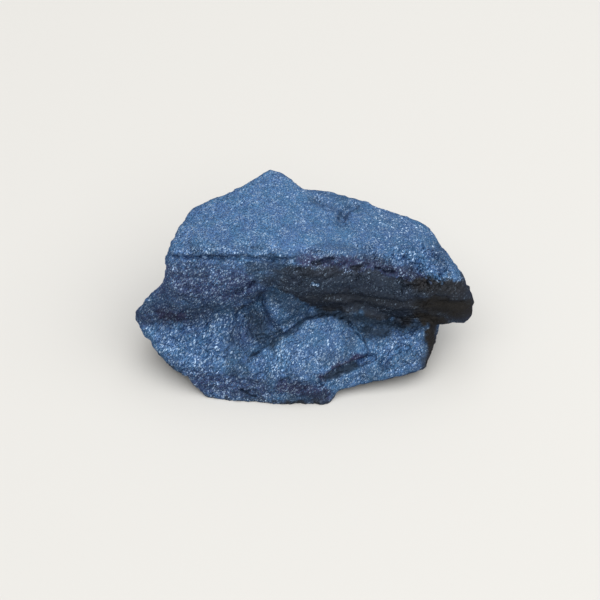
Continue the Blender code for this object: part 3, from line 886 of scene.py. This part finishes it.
    # The ore is satin, and its bright plates are a little glossier.
    gloss = node(
        tree, "ShaderNodeMapRange",
        {"Value": any_glint.outputs[0], "To Min": ROUGHNESS[0], "To Max": ROUGHNESS[1]},
    )
    tree.links.new(gloss.outputs[0], shader.inputs["Roughness"])

    # Each plate leans its own way.
    lean = node(tree, "ShaderNodeVectorMath", {0: plates.outputs["Color"], 1: HALF}, operation="SUBTRACT")
    face = node(tree, "ShaderNodeNewGeometry").outputs["Normal"]
    leaning = node(
        tree, "ShaderNodeVectorMath",
        {0: lean.outputs[0], 1: [PLATE_LEAN] * 3, 2: face},
        operation="MULTIPLY_ADD",
    )
    turned = node(tree, "ShaderNodeVectorMath", {0: leaning.outputs[0]}, operation="NORMALIZE")
    tree.links.new(turned.outputs[0], shader.inputs["Normal"])

    # A thin veil of dust and handling lifts the darks to grey.
    shader.inputs["Coat Weight"].default_value = VEIL
    shader.inputs["Coat Roughness"].default_value = VEIL_ROUGHNESS
    return material


def pale_floor():
    """A plain pale board, matt, under the specimen."""
    bpy.ops.mesh.primitive_plane_add(size=FLOOR_SIDE)
    floor = bpy.context.object
    floor.name = "pale_floor"
    material = bpy.data.materials.new("matt_white_board")
    material.use_nodes = True
    shader = material.node_tree.nodes["Principled BSDF"]
    shader.inputs["Base Color"].default_value = linear("#D0D0CD")
    shader.inputs["Roughness"].default_value = 0.9
    floor.data.materials.append(material)


def softbox(name, place, side, watts):
    """A square soft light turned to the specimen."""
    light = bpy.data.lights.new(name, "AREA")
    light.size = side
    light.energy = watts
    lamp = bpy.data.objects.new(name, light)
    bpy.context.scene.collection.objects.link(lamp)
    lamp.location = place
    lamp.rotation_mode = "QUATERNION"
    lamp.rotation_quaternion = (AIM - lamp.location).to_track_quat("-Z", "Y")


def photo_camera():
    """The camera, at the angle of the photograph."""
    rise = math.radians(ELEVATION)
    back = Vector((0, -math.cos(rise), math.sin(rise)))
    camera = bpy.data.objects.new("photo_camera", bpy.data.cameras.new("photo_camera"))
    bpy.context.scene.collection.objects.link(camera)
    camera.location = AIM + back * DISTANCE
    camera.rotation_mode = "QUATERNION"
    camera.rotation_quaternion = (-back).to_track_quat("-Z", "Y")
    camera.data.sensor_width = SENSOR
    camera.data.lens = SENSOR * DISTANCE / (IMAGE_SIDE / PIXELS_PER_MM * MM)
    bpy.context.scene.camera = camera


specimen = solid_copy()
shelter, corners = shelter_of(specimen)
facing_up = [corner.normal.z for corner in specimen.data.vertices]
edges = crisp_edges(specimen)
fine_grid(specimen, edges)
break_surface(specimen, edges)
triangles = sum(len(face.vertices) - 2 for face in specimen.data.polygons)
take_modifier(specimen, "DECIMATE", ratio=min(1.0, FLAKES / triangles))
thinned = np.clip(vertex_values(specimen.data, "co"), cad_low, cad_high)
specimen.data.vertices.foreach_set("co", thinned.ravel())
paint_shade(specimen, corners, shelter, facing_up)
specimen.data.polygons.foreach_set("use_smooth", [False] * len(specimen.data.polygons))
specimen.data.materials.append(specular_hematite_broken())
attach(specimen, "root")
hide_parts(NODE)

pale_floor()
softbox("overhead_softbox", SOFTBOX_PLACE, SOFTBOX_SIDE, SOFTBOX_WATTS)
photo_camera()

world = bpy.data.worlds.new("studio")
world.use_nodes = True
world.node_tree.nodes["Background"].inputs["Color"].default_value = linear("#FFF8F2")
world.node_tree.nodes["Background"].inputs["Strength"].default_value = ROOM_STRENGTH
bpy.context.scene.world = world
bpy.context.scene.view_settings.view_transform = "Standard"
